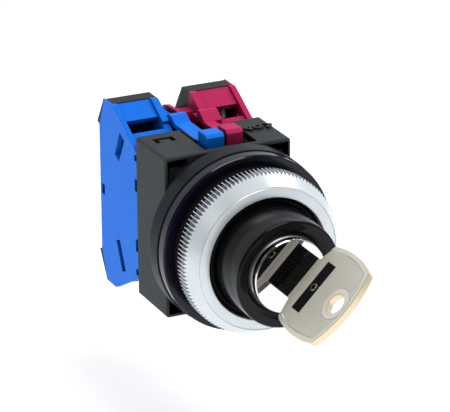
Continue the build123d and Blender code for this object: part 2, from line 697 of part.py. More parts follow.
SLOPE_FOOT = (BLOCK_FRONT, 16.2)
SLOPE_TOP = (41.6, BLOCK_HALF_H)
slope_run = (SLOPE_TOP[0] - SLOPE_FOOT[0], SLOPE_TOP[1] - SLOPE_FOOT[1])
slope_length = sqrt(slope_run[0] ** 2 + slope_run[1] ** 2)
ALONG = (slope_run[0] / slope_length, slope_run[1] / slope_length)
OUTWARD = (-ALONG[1], ALONG[0])
WINDOW = (6.9, 11.0)  # the wire window, as distances up the slope from its foot
RECESS_FOOT = 3.0
BACK_CORNER_Z = 16.4
TOP_BACK_Y = 46.9

CAP_FRONT_Y = 42.8
CAP_SIDE_FRONT_Y = 43.8
CAP_BEND_Z = 18.5  # above this the cap's front leans forward
TERMINAL_Y = 43.0  # the back of the brass strips under the terminal screws
CLAMP_Y = (41.0, 42.0)
PLATE_END = 8.3  # where the inner plate starts, as a distance up the slope
SIDE_SLOT_DEPTH = 2.4
CAP_FOOT_Z = 15.7
CAP_BACK_Y = 51.4
COVER = (46.3, 49.8)
SCREW_Z = 19.2
SCREW_HOLE_R = 3.1
SCREW_HEAD = (44.8, 47.2)
SCREW_SHANK_R = 1.5

CAVITY_HALF_Z = 14.2
NO_CONTACT_Y = 39.9
NC_CONTACT_Y = 34.7
CONTACT_T = 0.8
TIP_T = 0.35
TIP_R = 1.3
TIP_Z = 6.2
BRIDGE = (36.3, 37.1)
STRIP_HALF_W = 1.9
STEM_R = 1.0

HINGE_Y = 36.5
HINGE_Z = 18.2
KNUCKLE_R = 1.4
ARM_Z = (19.0, 20.15)
# Beside each tower: the saddle's top, where it steps down, and its top behind that.
SADDLE_STEPS = {"left": (18.85, 43.0, 18.75), "right": (19.9, 43.0, 18.0)}
SADDLE_RIB = [(42.5, 14.5), (42.5, 19.9), (47.5, 19.6), (49.6, 18.9), (49.9, 14.5)]


def flipped(corners, flip):
    """The (y, z) corners as they are, or turned upside down where flip is -1."""
    return [(y, flip * z) for y, z in corners]


def mirrored_profile(upper):
    """Close an upper half-outline of (y, z) corners with its mirror image below."""
    return upper + [(y, -z) for y, z in reversed(upper)]


def on_slope(along, out):
    """Point (y, z) by its distance up the block's sloping front and out from it."""
    y = SLOPE_FOOT[0] + along * ALONG[0] + out * OUTWARD[0]
    z = SLOPE_FOOT[1] + along * ALONG[1] + out * OUTWARD[1]
    return (y, z)


def tower_profile():
    """Side view of a block's tower."""
    return mirrored_profile(
        [SLOPE_FOOT, SLOPE_TOP, (TOP_BACK_Y, BLOCK_HALF_H), (BLOCK_BACK, BACK_CORNER_Z)]
    )


def saddle_profile(step_z, step_y, back_z):
    """Side view of a block's lower half beside the tower, behind the latch's seat."""
    return mirrored_profile(
        [
            (BLOCK_FRONT, 16.2),
            (38.6, 16.2),
            (39.4, step_z),
            (step_y, step_z),
            (step_y + 0.1, back_z),
            (BLOCK_BACK - 1.0, back_z),
            (BLOCK_BACK, BACK_CORNER_Z),
        ]
    )


def cap_profile():
    """Side view of the terminal cover's cap at the block's top."""
    return [
        (CAP_FRONT_Y, BLOCK_HALF_H + 0.05),
        (TOP_BACK_Y, BLOCK_HALF_H + 0.05),
        (CAP_BACK_Y, 16.9),
        (CAP_BACK_Y - 0.2, CAP_FOOT_Z),
        (CAP_SIDE_FRONT_Y, CAP_FOOT_Z),
        (CAP_SIDE_FRONT_Y, CAP_BEND_Z),
    ]


def tower_sides(side, word):
    """X limits of a tower, of the space between its two plates, and of its black cap."""
    outer = (BLOCK_LEFT[word], BLOCK_LEFT[word] + TOWER_W)
    if side < 0:
        inner = (outer[0] + OUTER_PLATE_T, outer[1] - INNER_PLATE_T)
        cap = (outer[0] + CAP_COVERED, outer[1])
    else:
        inner = (outer[0] + INNER_PLATE_T, outer[1] - OUTER_PLATE_T)
        cap = (outer[0], outer[1] - CAP_COVERED)
    return outer, inner, cap


def cut_wire_end(inner, plate_x, cap_x, flip):
    """Recess, wire window, terminal pocket and cap space at one end of a block."""
    recess = [
        on_slope(RECESS_FOOT, -RIB_RECESS),
        on_slope(slope_length + 2, -RIB_RECESS),
        on_slope(slope_length + 2, 2),
        on_slope(RECESS_FOOT, 2),
    ]
    window = [
        on_slope(WINDOW[0], 1),
        on_slope(WINDOW[1], 1),
        on_slope(WINDOW[1], -9),
        on_slope(WINDOW[0], -9),
    ]
    pocket = [
        (37.6, CAVITY_HALF_Z - 0.2),
        (37.6, 19.2),
        (42.6, 21.6),
        (CAP_SIDE_FRONT_Y, 21.6),
        (CAP_SIDE_FRONT_Y, CAVITY_HALF_Z - 0.2),
    ]
    plate_cut = [
        on_slope(RECESS_FOOT, -RIB_RECESS),
        on_slope(PLATE_END, -RIB_RECESS),
        on_slope(PLATE_END + 0.5, 1),
        on_slope(RECESS_FOOT, 1),
    ]
    for corners in (recess, window, pocket):
        side_prism(inner, flipped(corners, flip), mode=Mode.SUBTRACT)
    side_prism(plate_x, flipped(plate_cut, flip), mode=Mode.SUBTRACT)
    side_prism(cap_x, flipped(cap_profile(), flip), mode=Mode.SUBTRACT)


def cut_side_slots(plate_x, slot_x):
    """Slots through a block's outer plate and shallow notches in its edges."""
    upper_slot = [(37.5, 18.3), (34.8, 17.0), (38.2, 10.4), (40.7, 11.6)]
    lower_slot = [(40.8, -10.9), (38.6, -10.1), (35.2, -17.2), (37.4, -18.1)]
    side_prism(slot_x, upper_slot, mode=Mode.SUBTRACT)
    side_prism(slot_x, lower_slot, mode=Mode.SUBTRACT)
    slab(plate_x, (47.4, 49.2), (-1.3, 1.3), mode=Mode.SUBTRACT)
    for low, high in ((14.0, 15.6), (6.2, 9.4), (-9.4, -6.2), (-15.6, -14.0)):
        slab(plate_x, (BLOCK_FRONT, BLOCK_FRONT + 1.3), (low, high), mode=Mode.SUBTRACT)


def make_case(side, word):
    """Coloured housing of one contact block."""
    outer, inner, cap_x = tower_sides(side, word)
    saddle_x = (side * BLOCK_INNER_X, outer[1] if side < 0 else outer[0])
    cavity_end = side * (BLOCK_INNER_X + BLOCK_WALL)
    face = side * BOX_HALF_W
    notch_x = sorted((face, face - side))
    slot_x = sorted((face, face - side * SIDE_SLOT_DEPTH))
    plate_x = (inner[1], outer[1]) if side < 0 else (outer[0], inner[0])
    cavity_x = (inner[0], cavity_end) if side < 0 else (cavity_end, inner[1])
    with BuildPart() as case:
        side_prism(outer, tower_profile())
        side_prism(saddle_x, saddle_profile(*SADDLE_STEPS[word]))
        if side > 0:
            side_prism((BLOCK_INNER_X, BLOCK_INNER_X + 1.0), mirrored_profile(SADDLE_RIB))
        for flip in (1, -1):
            cut_wire_end(inner, plate_x, cap_x, flip)
        slab(
            cavity_x,
            (BLOCK_FRONT + 1.8, COVER[0]),
            (-CAVITY_HALF_Z, CAVITY_HALF_Z),
            mode=Mode.SUBTRACT,
        )
        slab(cavity_x, (COVER[0], BLOCK_BACK), (-CAP_FOOT_Z, CAP_FOOT_Z), mode=Mode.SUBTRACT)
        rod(
            side * PUSHER_X,
            0,
            (BLOCK_FRONT, BLOCK_FRONT + 1.8),
            PUSHER_R + 0.1,
            mode=Mode.SUBTRACT,
        )
        cut_side_slots(notch_x, slot_x)
    save(case, f"{word}_block_case")


def make_cover(side, word):
    """Black terminal cover that closes a block's back, with two screw wells."""
    outer, inner, cap_x = tower_sides(side, word)
    lip_x = (outer[0], cap_x[0]) if side < 0 else (cap_x[1], outer[1])
    cavity_end = side * (BLOCK_INNER_X + BLOCK_WALL)
    wall_x = (inner[0], cavity_end) if side < 0 else (cavity_end, inner[1])
    with BuildPart() as cover:
        slab(wall_x, COVER, (-CAP_FOOT_Z, CAP_FOOT_Z))
        for flip in (1, -1):
            side_prism(cap_x, flipped(cap_profile(), flip))
            lip = [(TOP_BACK_Y + 0.3, BLOCK_HALF_H + 0.05), (CAP_BACK_Y, 16.9), (50.15, 16.4)]
            lip.append((TOP_BACK_Y + 0.15, BLOCK_HALF_H))
            side_prism(lip_x, flipped(lip, flip))
            rod(
                (outer[0] + outer[1]) / 2,
                flip * SCREW_Z,
                (CAP_FRONT_Y, CAP_BACK_Y),
                SCREW_HOLE_R,
                mode=Mode.SUBTRACT,
            )
    save(cover, f"{word}_terminal_cover")


def make_screws(word):
    """The two cross-slotted terminal screws of a block, one node."""
    x = BLOCK_LEFT[word] + TOWER_W / 2
    slot_y = (SCREW_HEAD[1] - 1.0, SCREW_HEAD[1])
    with BuildPart() as screws:
        for flip in (1, -1):
            z = flip * SCREW_Z
            rod(x, z, (CLAMP_Y[0], SCREW_HEAD[0]), SCREW_SHANK_R)
            rod(x, z, SCREW_HEAD, 2.8)
            slab((x - 2.8, x + 2.8), slot_y, (z - 0.4, z + 0.4), mode=Mode.SUBTRACT)
            slab((x - 0.4, x + 0.4), slot_y, (z - 1.9, z + 1.9), mode=Mode.SUBTRACT)
    save(screws, f"{word}_terminal_screws")


def make_clamps(word):
    """The two saddle clamps in front of a block's terminal strips, one node."""
    x = BLOCK_LEFT[word] + TOWER_W / 2
    with BuildPart() as clamps:
        for flip in (1, -1):
            z = flip * SCREW_Z
            slab((x - 3.6, x + 3.6), CLAMP_Y, (flip * 16.2, flip * 20.5))
            rod(x, z, CLAMP_Y, SCREW_SHANK_R + 0.05, mode=Mode.SUBTRACT)
    save(clamps, f"{word}_wire_clamps")


def make_fixed_contacts(side, word, contact_y, tip_side):
    """A block's two brass strips, from each terminal to its contact tip."""
    x = side * PUSHER_X
    screw_x = BLOCK_LEFT[word] + TOWER_W / 2
    shelf_z = 13.0
    strip = [
        (contact_y, 3.4),
        (contact_y + CONTACT_T, 3.4),
        (contact_y + CONTACT_T, shelf_z - CONTACT_T),
        (TERMINAL_Y, shelf_z - CONTACT_T),
        (TERMINAL_Y, 21.0),
        (TERMINAL_Y - CONTACT_T, 21.0),
        (TERMINAL_Y - CONTACT_T, shelf_z),
        (contact_y, shelf_z),
    ]
    tip_y = contact_y + CONTACT_T if tip_side > 0 else contact_y
    strip_x = (screw_x - STRIP_HALF_W, screw_x + STRIP_HALF_W)
    tip_x = (min(strip_x[0], x - STRIP_HALF_W), max(strip_x[1], x + STRIP_HALF_W))
    with BuildPart() as contacts:
        for flip in (1, -1):
            side_prism(tip_x, flipped(strip, flip))
            rod(x, flip * TIP_Z, (tip_y, tip_y + tip_side * TIP_T), TIP_R)
            rod(
                screw_x,
                flip * SCREW_Z,
                (TERMINAL_Y - CONTACT_T, TERMINAL_Y),
                SCREW_SHANK_R + 0.05,
                mode=Mode.SUBTRACT,
            )
    save(contacts, f"{word}_fixed_contacts")


def make_plunger(side, word):
    """White plunger that carries the bridge contact."""
    x = side * PUSHER_X
    with BuildPart() as plunger:
        rod(x, 0, (PUSHER_END_Y, 33.0), PUSHER_R - 0.1)
        slab((x - 2.2, x + 2.2), (33.0, BRIDGE[0]), (-2.4, 2.4))
        rod(x, 0, (BRIDGE[0], BRIDGE[1] + 2.6), STEM_R)
    save(plunger, f"{word}_plunger")


def make_bridge(side, word, tip_side):
    """Moving bridge with its two contact tips."""
    x = side * PUSHER_X
    tip_y = BRIDGE[1] if tip_side > 0 else BRIDGE[0]
    with BuildPart() as bridge:
        slab((x - 1.8, x + 1.8), BRIDGE, (-TIP_Z - 1.8, TIP_Z + 1.8))
        for flip in (1, -1):
            rod(x, flip * TIP_Z, (tip_y, tip_y + tip_side * TIP_T), TIP_R)
        rod(x, 0, BRIDGE, STEM_R + 0.05, mode=Mode.SUBTRACT)
    save(bridge, f"{word}_bridge_contact")


def make_return_spring(side, word):
    """Open coil behind the bridge, round the plunger's stem."""
    wire_r = 0.22
    start = BRIDGE[1] + wire_r + 0.05
    length = COVER[0] - wire_r - 0.05 - start
    with BuildPart() as spring:
        with BuildLine() as path:
            Helix(
                pitch=length / 5,
                height=length,
                radius=STEM_R + wire_r + 0.4,
                center=(side * PUSHER_X, start, 0),
                direction=(0, 1, 0),
            )
        with BuildSketch(path.line ^ 0) as wire:
            Circle(wire_r)
        sweep(wire.sketch, path=path.line, is_frenet=True)
    save(spring, f"{word}_return_spring")


def make_latch(word, arm_x, arm_back, head_x, head, bump_x, bump, tail_x):
    """Latch: pivot knuckle and tail, thumb bump, flat arm and hooked head."""
    arm_front = max(y for y, z in head)
    tail_y = (arm_back - 0.5, HINGE_Y + 1.1)
    with BuildPart() as latch:
        slab(arm_x, (arm_front - 0.5, arm_back), ARM_Z)
        side_prism(bump_x, bump)
        side_prism(head_x, head)
        slab(tail_x, tail_y, ARM_Z)
        with BuildSketch(Plane.YZ.offset(tail_x[0])) as knuckle:
            with Locations((HINGE_Y, HINGE_Z)):
                Circle(KNUCKLE_R)
        extrude(knuckle.sketch, amount=tail_x[1] - tail_x[0])
    save(latch, f"{word}_latch")


def make_pusher(side, word):
    """Pusher between the cam rotor and a block's plunger."""
    with BuildPart() as pusher:
        rod(side * PUSHER_X, 0, (TIP_CENTRE_Y, PUSHER_END_Y), PUSHER_R)
        with Locations((side * PUSHER_X, TIP_CENTRE_Y, 0)):
            Sphere(PUSHER_R)
    save(pusher, f"{word}_pusher")


for side, word in ((-1, "left"), (1, "right")):
    normally_open = word == "left"
    tip_side = -1 if normally_open else 1
    make_pusher(side, word)
    make_case(side, word)
    make_cover(side, word)
    make_screws(word)
    make_clamps(word)
    make_fixed_contacts(side, word, NO_CONTACT_Y if normally_open else NC_CONTACT_Y, tip_side)
    make_plunger(side, word)
    make_bridge(side, word, -tip_side)
    make_return_spring(side, word)

LEFT_HEAD = [(14.0, 18.3), (18.8, 18.3), (18.8, 22.9), (14.7, 23.05), (14.0, 22.3)]
LEFT_BUMP = [(32.3, 19.2), (37.0, 19.2), (37.0, 20.9), (36.4, 21.4), (34.8, 21.55), (32.3, 20.1)]
RIGHT_HEAD = [(16.1, 18.3), (21.2, 18.3), (21.2, 22.5), (16.9, 22.65), (16.1, 21.8)]
# The right latch's bump overhangs the sloping front of its block.
RIGHT_BUMP = [(30.3, 19.2), (32.3, 19.2), (35.0, 20.95), (35.0, 21.7)]
RIGHT_BUMP += [(34.4, 22.0), (33.2, 22.1), (30.3, 20.2)]
make_latch(
    "left",
    arm_x=(-4.1, 0.0),
    arm_back=33.0,
    head_x=(-4.2, 0.4),
    head=LEFT_HEAD,
    bump_x=(-4.1, 0.0),
    bump=LEFT_BUMP,
    tail_x=(-4.0, -0.4),
)
make_latch(
    "right",
    arm_x=(2.7, 5.6),
    arm_back=31.5,
    head_x=(2.1, 6.3),
    head=RIGHT_HEAD,
    bump_x=(2.8, 7.5),
    bump=RIGHT_BUMP,
    tail_x=(2.9, 4.1),
)
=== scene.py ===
from math import cos, pi, radians, sin, sqrt, tan

import bpy
from mathutils import Matrix, Vector


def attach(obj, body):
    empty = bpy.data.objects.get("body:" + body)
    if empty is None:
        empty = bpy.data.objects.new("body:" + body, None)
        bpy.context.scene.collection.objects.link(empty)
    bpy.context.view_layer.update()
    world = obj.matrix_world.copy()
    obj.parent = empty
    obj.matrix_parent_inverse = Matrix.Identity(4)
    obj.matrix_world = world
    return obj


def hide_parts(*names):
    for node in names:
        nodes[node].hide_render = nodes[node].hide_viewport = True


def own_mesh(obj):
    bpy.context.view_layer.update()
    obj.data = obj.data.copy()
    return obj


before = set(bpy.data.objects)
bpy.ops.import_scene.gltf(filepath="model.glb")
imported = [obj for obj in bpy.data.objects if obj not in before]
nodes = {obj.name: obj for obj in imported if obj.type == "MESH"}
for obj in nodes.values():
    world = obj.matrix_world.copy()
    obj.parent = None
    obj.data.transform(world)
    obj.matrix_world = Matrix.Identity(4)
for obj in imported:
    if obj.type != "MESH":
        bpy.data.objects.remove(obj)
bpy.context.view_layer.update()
scene = bpy.context.scene
MM = 0.001

# ---- Camera ---------------------------------------------------------------------------

CAMERA_PLACE = (-0.283952, -0.589923, 0.266148)
CAMERA_RIGHT = Vector((0.90371, -0.42810, -0.00569))
CAMERA_UP = Vector((0.16100, 0.32749, 0.93104))
CAMERA_LENS = 240  # mm
SENSOR_WIDTH = 36  # mm

camera_data = bpy.data.cameras.new("camera")
camera_data.lens = CAMERA_LENS
camera_data.sensor_width = SENSOR_WIDTH
camera_data.clip_start = 0.01
camera = bpy.data.objects.new("camera", camera_data)
back = CAMERA_RIGHT.cross(CAMERA_UP)
axes = Matrix((CAMERA_RIGHT, CAMERA_UP, back)).transposed().to_4x4()
camera.matrix_world = Matrix.Translation(CAMERA_PLACE) @ axes
scene.collection.objects.link(camera)
scene.camera = camera
scene.view_settings.view_transform = "Standard"

# ---- Sizes that the materials follow ----------------------------------------------------

# The key, at 45 degrees about its own length. Its places are in mm.
KEY_ACROSS = Vector((sqrt(0.5), 0, sqrt(0.5)))
KEY_THROUGH = Vector((-sqrt(0.5), 0, sqrt(0.5)))  # its thickness
ALONG_Y = Vector((0, 1, 0))
HATCH_PITCH = 0.5  # of the bow's cross-hatched field
FIELD_HALF_T = (0.83, 0.86)  # the field's floor and the rim's top, from the key's middle
BOW_ROOT = -27.5  # along Y, where the shank meets the bow
KEY_WAIST = -38.0  # along Y, where the bow's side walls go from painted shade to a painted lit warm tone
EYELET = (1.25, -33.1)  # across the key and along Y
EYELET_BORE = 0.52

RECESS_REACH = 9.0  # how far a face looks for pieces that close it in, for its painted shade, mm
RECESS_RANGE = (0.25, 0.8)  # occlusion values at which the painted shade is full, in a deep recess, and gone, on an open face
EDGE_RUB = 0.35  # width of the rubbed band along a moulded piece's edges, mm

# ---- Shader building ------------------------------------------------------------------


def new_material(name):
    material = bpy.data.materials.new(name)
    material.use_nodes = True
    return material, material.node_tree, material.node_tree.nodes["Principled BSDF"]


def noise(tree, scale, detail=2.0, stretch=(1, 1, 1), rough=0.5):
    """Noise in the object's own metres, stretched along its axes."""
    place = tree.nodes.new("ShaderNodeTexCoord")
    mapping = tree.nodes.new("ShaderNodeMapping")
    mapping.inputs["Scale"].default_value = stretch
    tree.links.new(place.outputs["Object"], mapping.inputs["Vector"])
    texture = tree.nodes.new("ShaderNodeTexNoise")
    texture.inputs["Scale"].default_value = scale
    texture.inputs["Detail"].default_value = detail
    texture.inputs["Roughness"].default_value = rough
    tree.links.new(mapping.outputs["Vector"], texture.inputs["Vector"])
    return texture.outputs["Fac"]


def map_range(tree, value, low, high, to_low, to_high):
    node = tree.nodes.new("ShaderNodeMapRange")
    node.inputs["From Min"].default_value = low
    node.inputs["From Max"].default_value = high
    node.inputs["To Min"].default_value = to_low
    node.inputs["To Max"].default_value = to_high
    tree.links.new(value, node.inputs["Value"])
    return node.outputs["Result"]


def mix_colours(tree, factor, first, second):
    node = tree.nodes.new("ShaderNodeMix")
    node.data_type = "RGBA"
    tree.links.new(factor, node.inputs["Factor"])
    for socket, colour in (("A", first), ("B", second)):
        target = [s for s in node.inputs if s.name == socket and s.type == "RGBA"][0]
        if isinstance(colour, tuple):
            target.default_value = (*colour, 1)
        else:
            tree.links.new(colour, target)
    return [s for s in node.outputs if s.type == "RGBA"][0]


def math_node(tree, operation, first, second):
    node = tree.nodes.new("ShaderNodeMath")
    node.operation = operation
    for index, value in enumerate((first, second)):
        if isinstance(value, (int, float)):
            node.inputs[index].default_value = value
        else:
            tree.links.new(value, node.inputs[index])
    return node.outputs["Value"]


def product(tree, first, second):
    return math_node(tree, "MULTIPLY", first, second)


def cloudy(tree, cloud, first, second):
    """Two colours, mixed by the middle of a noise's range."""
    return mix_colours(tree, map_range(tree, cloud, 0.3, 0.7, 0, 1), first, second)


def add_bump(tree, bsdf, height, distance, below=None):
    node = tree.nodes.new("ShaderNodeBump")
    node.inputs["Distance"].default_value = distance
    tree.links.new(height, node.inputs["Height"])
    if below is not None:
        tree.links.new(below, node.inputs["Normal"])
    tree.links.new(node.outputs["Normal"], bsdf.inputs["Normal"])
    return node.outputs["Normal"]


def edge_mask(tree, radius):
    """1 along the convex and concave edges of a piece, 0 on its flats."""
    bevel = tree.nodes.new("ShaderNodeBevel")
    bevel.samples = 4
    bevel.inputs["Radius"].default_value = radius
    geometry = tree.nodes.new("ShaderNodeNewGeometry")
    dot = tree.nodes.new("ShaderNodeVectorMath")
    dot.operation = "DOT_PRODUCT"
    tree.links.new(bevel.outputs["Normal"], dot.inputs[0])
    tree.links.new(geometry.outputs["Normal"], dot.inputs[1])
    return map_range(tree, dot.outputs["Value"], 0.999, 0.93, 0.0, 1.0)


def scaled(colour, factor):
    return tuple(min(1.0, channel * factor) for channel in colour)


def paint_recess_shade(tree, colour, deep):
    """Painted shade: the colour on open faces, and a darker one where near pieces close a face in.
    """
    # painted shade, from how closely near pieces close a face in
    recess = tree.nodes.new("ShaderNodeAmbientOcclusion")
    recess.samples = 6
    recess.inputs["Distance"].default_value = RECESS_REACH * MM
    openness = map_range(tree, recess.outputs["AO"], *RECESS_RANGE, 0.0, 1.0)
    return mix_colours(tree, openness, deep, colour)


def plastic(name, colour, rough, grain=0.012, grain_scale=5200, wear=1.18, spec=0.06, soft=0.0):
    """Moulded plastic: cloudy colour, fine grain, edges rubbed a little lighter, and painted shade
    in recesses.

    The grain's depth and the soft edges' radius are in mm.
    """
    material, tree, bsdf = new_material(name)
    body = cloudy(tree, noise(tree, 140, 3), scaled(colour, 0.97), scaled(colour, 1.03))
    scuffs = noise(tree, 900, 4, (1, 0.35, 1), 0.7)
    patchy = map_range(tree, scuffs, 0.35, 0.65, 0.3, 1)
    rubbed = product(tree, edge_mask(tree, EDGE_RUB * MM), patchy)
    full = mix_colours(tree, rubbed, body, scaled(colour, wear))
    # painted shade: a quarter of the colour where near pieces close a face in
    tree.links.new(paint_recess_shade(tree, full, scaled(colour, 0.25)), bsdf.inputs["Base Color"])
    gloss = map_range(tree, scuffs, 0.3, 0.7, rough - 0.05, rough + 0.06)
    tree.links.new(gloss, bsdf.inputs["Roughness"])
    bsdf.inputs["Specular IOR Level"].default_value = spec
    below = None
    if soft:
        rounding = tree.nodes.new("ShaderNodeBevel")
        rounding.samples = 6
        rounding.inputs["Radius"].default_value = soft * MM
        below = rounding.outputs["Normal"]
    add_bump(tree, bsdf, noise(tree, grain_scale, 2), grain * MM, below)
    return material


def metal(
    name,
    colour,
    rough,
    stretch=(1, 1, 1),
    scale=1500,
    depth=0.002,
    spread=0.05,
    share=1.0,
    deep=None,
):
    """Metal with faint streaks in its gloss, depth mm deep.

    share is how metallic it is, and deep is how much of its colour painted shade leaves in a
    recess.
    """
    material, tree, bsdf = new_material(name)
    streaks = noise(tree, scale, 4, stretch, 0.6)
    tint = cloudy(tree, noise(tree, 160, 2), scaled(colour, 0.96), scaled(colour, 1.03))
    # painted shade in recesses, down to the given share of the colour
    if deep is not None:
        tint = paint_recess_shade(tree, tint, scaled(colour, deep))
    tree.links.new(tint, bsdf.inputs["Base Color"])
    tree.links.new(
        map_range(tree, streaks, 0.25, 0.75, max(0.02, rough - spread), rough + spread),
        bsdf.inputs["Roughness"],
    )
    bsdf.inputs["Metallic"].default_value = share
    add_bump(tree, bsdf, streaks, depth * MM)
    return material


def along(tree, direction, output="Object"):
    """A point's distance along a direction in metres, or its normal's share in it."""
    place = tree.nodes.new("ShaderNodeTexCoord")
    dot = tree.nodes.new("ShaderNodeVectorMath")
    dot.operation = "DOT_PRODUCT"
    tree.links.new(place.outputs[output], dot.inputs[0])
    dot.inputs[1].default_value = direction
    return dot.outputs["Value"]


def key_metal():
    """Nickel silver: cross-hatched field on the bow, smooth rim, boss and dark blade; the bow's
    side walls carry painted light and shade.
    """
    material, tree, bsdf = new_material("key_nickel")
    light_nickel, pale_nickel = (0.92, 0.86, 0.75), (0.98, 0.92, 0.80)
    pit_colour, edge_line = (0.46, 0.41, 0.33), (0.08, 0.07, 0.06)
    # side walls: painted shade near the root, painted lit warm tone toward the end
    painted_shade_wall, painted_lit_wall = (0.16, 0.145, 0.12), (0.86, 0.72, 0.50)
    shank_colour = (0.34, 0.33, 0.31)

    waves = 2 * pi / (HATCH_PITCH * MM) / sqrt(2)
    rising = math_node(tree, "SINE", along(tree, (KEY_ACROSS + ALONG_Y) * waves), 0)
    falling = math_node(tree, "SINE", along(tree, (KEY_ACROSS - ALONG_Y) * waves), 0)
    hatch = product(tree, rising, falling)

    down = along(tree, ALONG_Y)
    depth = math_node(tree, "ABSOLUTE", along(tree, KEY_THROUGH), 0)
    facing = math_node(tree, "ABSOLUTE", along(tree, KEY_THROUGH, "Normal"), 0)
    on_bow = map_range(tree, down, BOW_ROOT * MM, (BOW_ROOT + 0.1) * MM, 1, 0)
    on_shank = map_range(tree, down, BOW_ROOT * MM, (BOW_ROOT + 0.1) * MM, 0, 1)
    toward_end = map_range(tree, down, KEY_WAIST * MM, (KEY_WAIST + 3) * MM, 1, 0)
    in_field = map_range(tree, depth, FIELD_HALF_T[0] * MM, FIELD_HALF_T[1] * MM, 1, 0)
    flat = map_range(tree, facing, 0.9, 0.97, 0, 1)
    on_side_wall = map_range(tree, facing, 0.1, 0.5, 1, 0)
    on_corner = product(
        tree,
        map_range(tree, facing, 0.1, 0.4, 0, 1),
        map_range(tree, facing, 0.8, 0.97, 1, 0),
    )
    hatched = product(tree, hatch, product(tree, product(tree, in_field, on_bow), flat))

    tint = cloudy(tree, noise(tree, 260, 3), light_nickel, pale_nickel)
    pitted = mix_colours(tree, map_range(tree, hatched, -0.8, 0.2, 0.7, 0), tint, pit_colour)
    toned = mix_colours(tree, on_shank, pitted, shank_colour)
    # painted shade on the side walls toward the root, painted lit warm tone toward the end
    painted_wall_light = mix_colours(tree, toward_end, painted_shade_wall, painted_lit_wall)
    walled = mix_colours(tree, on_side_wall, toned, painted_wall_light)
    line = product(tree, product(tree, on_corner, toward_end), 0.8)
    tree.links.new(mix_colours(tree, line, walled, edge_line), bsdf.inputs["Base Color"])
    tree.links.new(map_range(tree, on_shank, 0, 1, 0.34, 0.14), bsdf.inputs["Roughness"])
    tree.links.new(map_range(tree, on_shank, 0, 1, 0.72, 1.0), bsdf.inputs["Metallic"])

    scratches = product(tree, noise(tree, 2400, 3, (1, 0.3, 1), 0.6), on_bow)
    fine = add_bump(tree, bsdf, scratches, 0.0015 * MM)
    add_bump(tree, bsdf, hatched, 0.03 * MM, fine)
    return material


def eyelet_finish():
    """Bright rolled ring, with painted shade darkening its bore."""
    material, tree, bsdf = new_material("eyelet_metal")
    across = math_node(tree, "SUBTRACT", along(tree, KEY_ACROSS), EYELET[0] * MM)
    down = math_node(tree, "SUBTRACT", along(tree, ALONG_Y), EYELET[1] * MM)
    squares = [product(tree, value, value) for value in (across, down)]
    radius = math_node(tree, "SQRT", math_node(tree, "ADD", *squares), 0)
    # painted shade: the bore darkens to near black
    bore = map_range(tree, radius, EYELET_BORE * MM, (EYELET_BORE + 0.08) * MM, 1, 0)
    finish = mix_colours(tree, bore, (0.66, 0.63, 0.56), (0.02, 0.02, 0.02))
    tree.links.new(finish, bsdf.inputs["Base Color"])
    bsdf.inputs["Metallic"].default_value = 1.0
    gloss = map_range(tree, noise(tree, 1800, 3), 0.3, 0.7, 0.18, 0.28)
    tree.links.new(gloss, bsdf.inputs["Roughness"])
    return material


# ---- Mesh building --------------------------------------------------------------------


def rounded(corners, steps=6):
    """Closed outline from (r, y, fillet) corners in mm, each corner rounded to its fillet."""
    points = []
    for index, (r, y, fillet) in enumerate(corners):
        corner = Vector((r, y))
        before = Vector(corners[index - 1][:2]) - corner
        after = Vector(corners[(index + 1) % len(corners)][:2]) - corner
        if fillet <= 0:
            points.append(corner)
            continue
        half = before.angle(after) / 2
        reach = min(fillet / tan(half), 0.48 * before.length, 0.48 * after.length)
        before.normalize()
        after.normalize()
        centre = corner + (before + after).normalized() * (reach / cos(half))
        start = corner + before * reach - centre
        end = corner + after * reach - centre
        turn = start.angle_signed(end)
        for step in range(steps + 1):
            points.append(centre + Matrix.Rotation(-turn * step / steps, 2) @ start)
    return points


def make_piece(name, verts, faces, materials, body, replaced=(), slot=None, sharp=40, second=()):
    """Mesh piece that rides on a body; faces listed in second take the second material."""
    mesh = bpy.data.meshes.new(name)
    mesh.from_pydata([Vector(v) * MM for v in verts], [], faces)
    mesh.validate()
    mesh.update()
    for polygon in mesh.polygons:
        polygon.use_smooth = True
    mesh.set_sharp_from_angle(angle=radians(sharp))
    for material in materials:
        mesh.materials.append(material)
    for index in second:
        mesh.polygons[index].material_index = 1
    piece = bpy.data.objects.new(name, mesh)
    scene.collection.objects.link(piece)
    weighted = piece.modifiers.new("weighted", "WEIGHTED_NORMAL")
    weighted.keep_sharp = True
    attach(piece, body)
    if replaced:
        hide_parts(*replaced)
    return piece


def lathe(outline, segments, reshape=None):
    """Revolve a closed (r, y) outline about the barrel's axis; reshape may move a corner."""
    verts = []
    faces = []
    count = len(outline)
    for segment in range(segments):
        angle = 2 * pi * segment / segments
        for index, (r, y) in enumerate(outline):
            if reshape:
                r, y = reshape(index, r, y, segment)
            verts.append((r * cos(angle), y, r * sin(angle)))
    for segment in range(segments):
        following = (segment + 1) % segments
        for index in range(count):
            next_index = (index + 1) % count
            faces.append(
                (
                    segment * count + index,
                    segment * count + next_index,
                    following * count + next_index,
                    following * count + index,
                )
            )
    return verts, faces


# ---- Materials ------------------------------------------------------------------------

